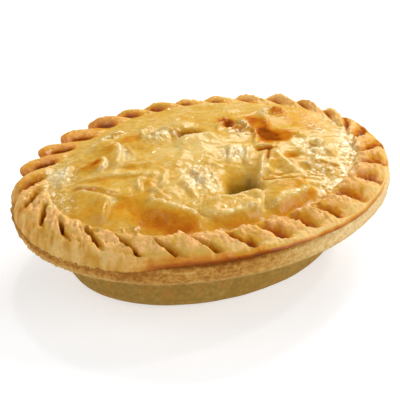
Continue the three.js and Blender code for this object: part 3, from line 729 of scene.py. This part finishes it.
# Case surface: the outline carried round the oval, pushed by streaks and crumbs on the flange, dimples on
# the wall and tucks under the lid's drape and sag, and rounded off at the far side
def makeCase():
    rows = caseProfile()
    count, top, under = case["columns"], case["top"], case["flangeUnder"]
    share = np.tile(np.arange(count) / count, len(rows))
    length, width, z = (np.repeat(rows[:, k], count) for k in range(3))
    t = 2 * np.pi * share
    around = share * ovalLength
    zone = {name: stretch(t, *values) for name, values in caseZones.items()}
    noise = {name: grains(around, z * tall, layers) for name, (tall, layers) in caseGrains.items()}
    flange = smooth(z - under, *case["flangeRise"])
    wall = smooth(z, *case["wallStart"]) * smooth(z, *case["wallEnd"])
    push = flange * (noise["streak"] + noise["streakFine"] + noise["crumb"])
    push = push + noise["wave"] + wall * noise["dimple"]
    push = push * smooth(z, *case["footEnd"]) * smooth(z, top, top - case["topEnd"])
    push -= zone["nearLeft"] * smooth(z, top - case["tuckUnder"], under) * smooth(z, *case["tuck"])
    push -= case["drapeIn"] * zone["drape"] * smooth(z, case["drapeFrom"], top)
    push -= zone["sag"] * smooth(z, case["sagFrom"], top)
    push -= zone["far"] * smooth(z - top, *case["farRise"])
    x, y = (length + push) * np.cos(t), (width + push) * np.sin(t)
    z = z - zone["nearLeft"] * smooth(z, *case["drop"]) * smooth(z, *case["dropEnd"])
    points = np.concatenate([[[0, 0, 0]], np.stack([x, y, z], 1), [[0, 0, top]]])

    lip = smooth(np.abs(z - under - case["lipHeight"]), *case["lipWidth"])
    lip = lip * smooth(length - halfLength, *case["lipOut"])
    # Painted light on the flange: darker at the front and paler on the right as light falls on it; also
    # darker towards the top on the drape and along the seam
    shade = zone["front"] + zone["right"] + zone["drape"] * smooth(z, *case["drapeShade"])
    shade += zone["seam"] * smooth(z - top, *case["seamRise"])
    masks = {"flange": flange, "lip": lip, "shade": shade}
    masks = {name: np.concatenate([[0], values, [0]]) for name, values in masks.items()}
    quads, tris = ringFaces([count] * len(rows))
    return makePiece("case_pastry", points, quads, tris, masks)


# Shader maths: a socket that can stand in plain sums

class Wire:
    def __init__(self, tree, socket=None):
        self.tree, self.socket = tree, socket

    def add(self, kind, settings, sockets, out=0):  # any node: settings, then values or links of its sockets
        node = self.tree.nodes.new(kind)
        for name, value in settings.items():
            if name == "stops":
                ramp = node.color_ramp.elements
                while len(ramp) < len(value):
                    ramp.new(0.5)
                for element, (position, colour) in zip(ramp, value):
                    element.position = position
                    element.color = rgba(*colour)
            else:
                setattr(node, name, value)
        for name, value in sockets.items():
            target = next(s for s in node.inputs if s.identifier == name)
            if isinstance(value, Wire):
                self.tree.links.new(value.socket, target)
            else:
                target.default_value = value
        return Wire(self.tree, node.outputs[out] if node.outputs else None)

    def sum(self, operation, first, second):
        return self.add("ShaderNodeMath", {"operation": operation}, {"Value": first, "Value_001": second})

    def __add__(self, other):
        return self.sum("ADD", self, other)

    def __radd__(self, other):
        return self.sum("ADD", other, self)

    def __sub__(self, other):
        return self.sum("SUBTRACT", self, other)

    def __rsub__(self, other):
        return self.sum("SUBTRACT", other, self)

    def __mul__(self, other):
        return self.sum("MULTIPLY", self, other)

    def __rmul__(self, other):
        return self.sum("MULTIPLY", other, self)

    def step(self, low, high):  # eased step from 0 at low to 1 at high
        settings = {"interpolation_type": "SMOOTHSTEP"}
        return self.add("ShaderNodeMapRange", settings, {"Value": self, "From Min": low, "From Max": high})

    def blend(self, first, second):  # colour mixed by this value
        sockets = {"Factor_Float": self, "A_Color": first, "B_Color": second}
        return self.add("ShaderNodeMix", {"data_type": "RGBA"}, sockets, 2)

    def ramp(self, stops):
        return self.add("ShaderNodeValToRGB", {"stops": stops}, {"Fac": self})

    def mask(self, name):
        return self.add("ShaderNodeAttribute", {"attribute_name": name}, {}, 2)

    def cloud(self, where, size, detail, rough, twist=0.0):  # noise with features of a size in millimetres
        values = {"Vector": where, "Scale": 1 / (size * mm), "Detail": detail}
        return self.add("ShaderNodeTexNoise", {}, {**values, "Roughness": rough, "Distortion": twist})

    def normal(self, look):  # bump with this value as its height
        values = {"Strength": look["bumpStrength"], "Distance": look["bumpDepth"], "Height": self}
        return self.add("ShaderNodeBump", {}, values)

    def surface(self, values):  # principled shader led to the output
        shader = self.add("ShaderNodeBsdfPrincipled", {}, values)
        self.add("ShaderNodeOutputMaterial", {}, {"Surface": shader})


def newFinish(name):
    finish = bpy.data.materials.new(name)
    finish.use_nodes = True
    finish.node_tree.nodes.clear()
    sheet = Wire(finish.node_tree)
    where = sheet.add("ShaderNodeTexCoord", {}, {}, 3)  # object coordinates
    return finish, sheet, where


def rgba(r, g, b):
    return (r, g, b, 1.0)


# Look of the lid: clouds by size, detail, roughness and twist, flakes by cloud's step, strength and colour;
# the palest flakes are painted glints
glazed = {
    "broad": (9, 4, 0.6), "small": (2.2, 4, 0.6), "speck": (0.7, 3, 0.6), "crumbs": (1.0, 4, 0.65),
    "flake": (1.8, 3, 0.6, 0.5), "broadTone": 0.4, "smallTone": 0.34, "speckTone": 0.12,
    "browning": [
        (0.00, (0.70, 0.525, 0.235)), (0.18, (0.65, 0.445, 0.14)), (0.36, (0.58, 0.34, 0.058)),
        (0.48, (0.56, 0.275, 0.021)), (0.60, (0.53, 0.20, 0.010)), (0.78, (0.40, 0.095, 0.004)),
        (1.00, (0.17, 0.035, 0.002))],
    "deepShare": 0.97, "deepColour": (0.15, 0.07, 0.003), "dryColour": (0.92, 0.53, 0.21),
    "dryShare": 0.76, "drySmall": 1.6, "dryCrumbs": 0.8, "crumbStep": (0.28, 0.72),
    "flakesAndPaintedGlints": [
        (0.48, 0.38, 0.65, (0.55, 0.28, 0.04)), (0.54, 0.64, 0.75, (0.94, 0.76, 0.42)),
        (0.58, 0.66, 0.85, (0.98, 0.88, 0.68))],
    "speckRelief": 0.6, "smallRelief": 0.7, "sparkleRelief": 2.8, "crumbRelief": 0.7,
    "bumpStrength": 0.5, "bumpDepth": 0.0006,
    "rough": 0.36, "dryRough": 0.3, "smallRough": 0.15, "sparkleRough": 0.06,
    "coat": 0.36, "sparkleCoat": 0.64,
    "fixed": {
        "IOR": 1.45, "Specular IOR Level": 0.0, "Subsurface Weight": 0.2,
        "Subsurface Radius": (1.0, 0.4, 0.12), "Subsurface Scale": 0.0008,
        "Coat Roughness": 0.07, "Coat IOR": 1.5},
}


# Glazed golden pastry: browning, with the painted shade and highlights carried in it, picks the colour; the
# vent and the back hollow get painted shade, dry crests are pale and rough, the sparkling zones are flaked
# with painted glints, and the glaze is a clear coat
def glazedPastry():
    finish, sheet, where = newFinish("glazed pastry")
    bake, dry, deep = sheet.mask("bake"), sheet.mask("dry"), sheet.mask("deep")
    glaze, sparkle = sheet.mask("glaze"), sheet.mask("sparkle")
    broad, small, speck = (sheet.cloud(where, *glazed[name]) - 0.5 for name in ("broad", "small", "speck"))
    crumbs = sheet.cloud(where, *glazed["crumbs"]).step(*glazed["crumbStep"]) - 0.5
    flake = sheet.cloud(where, *glazed["flake"])
    tone = bake + broad * glazed["broadTone"] + small * glazed["smallTone"] + speck * glazed["speckTone"]
    colour = tone.ramp(glazed["browning"])
    # Painted shade in the vent and the back hollow, and darker towards the drape's edge
    colour = (deep * glazed["deepShare"]).blend(colour, rgba(*glazed["deepColour"]))
    dryShare = dry * (glazed["dryShare"] + small * glazed["drySmall"] + crumbs * glazed["dryCrumbs"])
    colour = dryShare.blend(colour, rgba(*glazed["dryColour"]))
    # Dark specks and pale flakes in the sparkling zones; the near-white flecks are painted glints
    for low, high, strength, tint in glazed["flakesAndPaintedGlints"]:
        colour = (flake.step(low, high) * sparkle * strength).blend(colour, rgba(*tint))
    relief = speck * glazed["speckRelief"] + small * glazed["smallRelief"]
    relief = relief * (1 + sparkle * glazed["sparkleRelief"] + dry) + crumbs * dry * glazed["crumbRelief"]
    rough = glazed["rough"] + dry * glazed["dryRough"] + small * glazed["smallRough"]
    rough = rough - sparkle * glazed["sparkleRough"]
    coat = glaze * (glazed["coat"] + sparkle * glazed["sparkleCoat"])
    sheet.surface({
        "Base Color": colour, "Roughness": rough, "Normal": relief.normal(glazed), "Coat Weight": coat,
        **glazed["fixed"]})
    return finish


# Look of the case: clouds by size, detail and roughness
short = {
    "broad": (10, 4, 0.6), "small": (1.8, 4, 0.6), "crumbs": (1.2, 3, 0.65), "lines": (6, 4, 0.65),
    "scorch": (7, 4, 0.6), "lineSqueeze": (1, 1, 6), "crumbStep": (0.36, 0.64), "scorchStep": (0.5, 0.7),
    "tone": 0.55, "broadTone": 0.6, "smallTone": 0.65, "crumbTone": 0.3, "lineTone": 0.75,
    "browning": [
        (0.0, (0.74, 0.53, 0.26)), (0.25, (0.60, 0.40, 0.15)), (0.5, (0.52, 0.295, 0.072)),
        (0.75, (0.43, 0.20, 0.035)), (1.0, (0.30, 0.11, 0.015))],
    "wallShare": 0.75, "wallSmall": 1.1, "wallColourAndShade": (0.26, 0.155, 0.026),
    "scorchShare": 0.6, "scorchColour": (0.42, 0.18, 0.03), "lipShare": 0.25,
    "lipColour": (0.60, 0.43, 0.17),
    "smallRelief": 0.7, "crumbRelief": 0.6, "lineRelief": 0.6, "bumpStrength": 0.5, "bumpDepth": 0.0006,
    "rough": 0.72, "smallRough": 0.15, "fixed": {"IOR": 1.4, "Specular IOR Level": 0.12},
}


# Short pastry: dry and mottled, with streaks along the flange, painted shade at its front and painted light
# on its right, a pale lip, and a darker wall, partly painted shade under the flange, with scorched spots
def shortPastry():
    finish, sheet, where = newFinish("short pastry")
    flange, lip, shade = sheet.mask("flange"), sheet.mask("lip"), sheet.mask("shade")
    flat = sheet.add("ShaderNodeMapping", {}, {"Vector": where, "Scale": short["lineSqueeze"]})
    broad, small = (sheet.cloud(where, *short[name]) - 0.5 for name in ("broad", "small"))
    lines = sheet.cloud(flat, *short["lines"]) - 0.5
    crumbs = sheet.cloud(where, *short["crumbs"]).step(*short["crumbStep"]) - 0.5
    scorch = sheet.cloud(where, *short["scorch"]).step(*short["scorchStep"]) * (1 - flange)
    tone = short["tone"] + shade * flange + broad * short["broadTone"] + small * short["smallTone"]
    tone = tone + crumbs * flange * short["crumbTone"] + lines * flange * short["lineTone"]
    colour = tone.ramp(short["browning"])
    # The wall's dark colour is partly its own and partly painted shade under the flange
    wall = (1 - flange) * (short["wallShare"] + small * short["wallSmall"])
    colour = wall.blend(colour, rgba(*short["wallColourAndShade"]))
    colour = (scorch * short["scorchShare"]).blend(colour, rgba(*short["scorchColour"]))
    colour = (lip * short["lipShare"]).blend(colour, rgba(*short["lipColour"]))
    relief = small * short["smallRelief"] + crumbs * short["crumbRelief"] + lines * short["lineRelief"]
    rough = short["rough"] + small * short["smallRough"]
    normal = relief.normal(short)
    sheet.surface({"Base Color": colour, "Roughness": rough, "Normal": normal, **short["fixed"]})
    return finish


lidPiece = makeLid()
lidPiece.data.materials.append(glazedPastry())
casePiece = makeCase()
casePiece.data.materials.append(shortPastry())
pieces = (lidPiece, "pastry_lid", "glazed_pastry"), (casePiece, "pastry_case", "short_pastry")
for piece, node, slot in pieces:
    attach(piece, "root")
    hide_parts(node)
print("pieces made")


# Studio: pale floor, soft lights and the camera

studio = {
    "turn": 22.61, "elevation": 34.79, "distance": 0.42641, "aim": (0, 0, 0.0168),
    "lens": 105.39, "sensor": 36, "shift": (-0.0113, 0.019125), "world": 0.2,
    "floorHalf": 2.0, "floorLook": {
        "Base Color": rgba(0.6, 0.6, 0.6), "Roughness": 0.9,
        "Emission Color": rgba(1, 1, 1), "Emission Strength": 0.5},
    "lights": [  # name, azimuth from the camera's right, elevation, distance, size and power
        ("key", 68, 38, 0.9, 0.55, 5.9), ("glint0", 20, 48, 0.9, 0.08, 0.95),
        ("glint1", 55, 50, 0.9, 0.08, 0.95), ("glint2", 100, 62, 0.9, 0.08, 0.95),
        ("front", 262, 25, 1.0, 0.9, 1.7), ("fill", 195, 30, 0.9, 0.9, 3.8),
        ("side", -25, 28, 0.9, 0.6, 4.1)],
}


def addFloor():
    half = studio["floorHalf"]
    mesh = bpy.data.meshes.new("floor")
    corners = [(-half, -half, 0), (half, -half, 0), (half, half, 0), (-half, half, 0)]
    mesh.from_pydata(corners, [], [(0, 1, 2, 3)])
    finish, sheet, _ = newFinish("pale floor")
    sheet.surface(studio["floorLook"])
    mesh.materials.append(finish)
    floor = addObject("floor", mesh)


# Soft round light on a sphere about the pie, facing its middle
def addLight(name, azimuth, elevation, distance, size, power):
    a = math.radians(azimuth - studio["turn"])
    e = math.radians(elevation)
    data = bpy.data.lights.new(name, "AREA")
    data.shape = "DISK"
    data.size = size
    data.energy = power
    lamp = addObject(name, data)
    away = (math.cos(e) * math.cos(a), math.cos(e) * math.sin(a), math.sin(e))
    lamp.location = [distance * part for part in away]
    lamp.rotation_euler = (math.pi / 2 - e, 0, a + math.pi / 2)


def addCamera():
    turn, lift = math.radians(studio["turn"]), math.radians(studio["elevation"])
    data = bpy.data.cameras.new("camera")
    data.lens = studio["lens"]
    data.sensor_width = studio["sensor"]
    data.shift_x, data.shift_y = studio["shift"]
    camera = addObject("camera", data)
    back = (-math.sin(turn) * math.cos(lift), -math.cos(turn) * math.cos(lift), math.sin(lift))
    camera.location = [aim + studio["distance"] * part for aim, part in zip(studio["aim"], back)]
    camera.rotation_euler = (math.pi / 2 - lift, 0, -turn)
    bpy.context.scene.camera = camera


def addWorld():
    world = bpy.data.worlds.new("studio")
    world.use_nodes = True
    background = world.node_tree.nodes["Background"]
    background.inputs["Color"].default_value = rgba(1, 1, 1)
    background.inputs["Strength"].default_value = studio["world"]
    bpy.context.scene.world = world


addFloor()
addWorld()
for light in studio["lights"]:
    addLight(*light)
addCamera()
bpy.context.scene.view_settings.view_transform = "Standard"
print("studio made")
